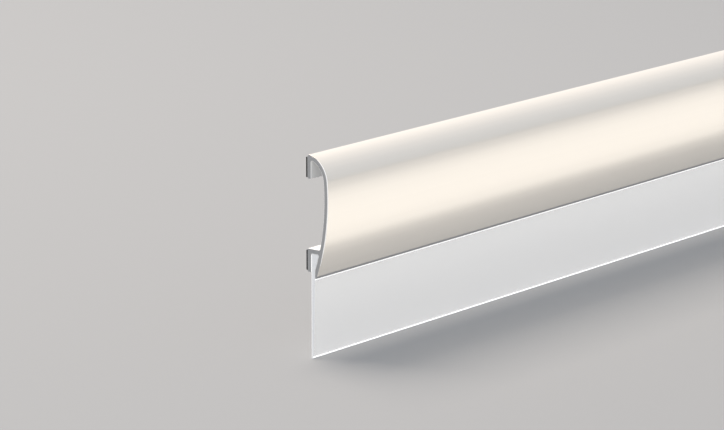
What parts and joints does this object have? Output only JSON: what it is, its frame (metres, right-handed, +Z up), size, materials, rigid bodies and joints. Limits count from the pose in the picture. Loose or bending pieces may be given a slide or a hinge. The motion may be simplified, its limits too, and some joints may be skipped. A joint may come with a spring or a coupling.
{
  "type": "adhesive door bottom seal",
  "caption": "Stick-on door bottom seal: a bowed ivory plastic cover strip on adhesive-backed pads, holding a clear flexible fin that closes the gap to the floor.",
  "frame": {"origin": "on the door's face, at the middle of the upper adhesive strip's back, half-way along the seal", "axes": "+X along the seal, to the right as seen from the front; +Y into the door, so that the front faces -Y; +Z up, so that the fin hangs down"},
  "size_m": [0.914, 0.0065, 0.0484],
  "materials": {
    "ivory_rigid_pvc": "satin, as extruded",
    "clear_flexible_pvc": "clear with a slight milky haze",
    "black_foam_tape": "matt, fine closed-cell foam"
  },
  "bodies": {
    "root": {"carrier": "ivory_rigid_pvc", "sealing_fin": "clear_flexible_pvc", "upper_adhesive_strip": "black_foam_tape", "lower_adhesive_strip": "black_foam_tape"}
  },
  "joints": []
}
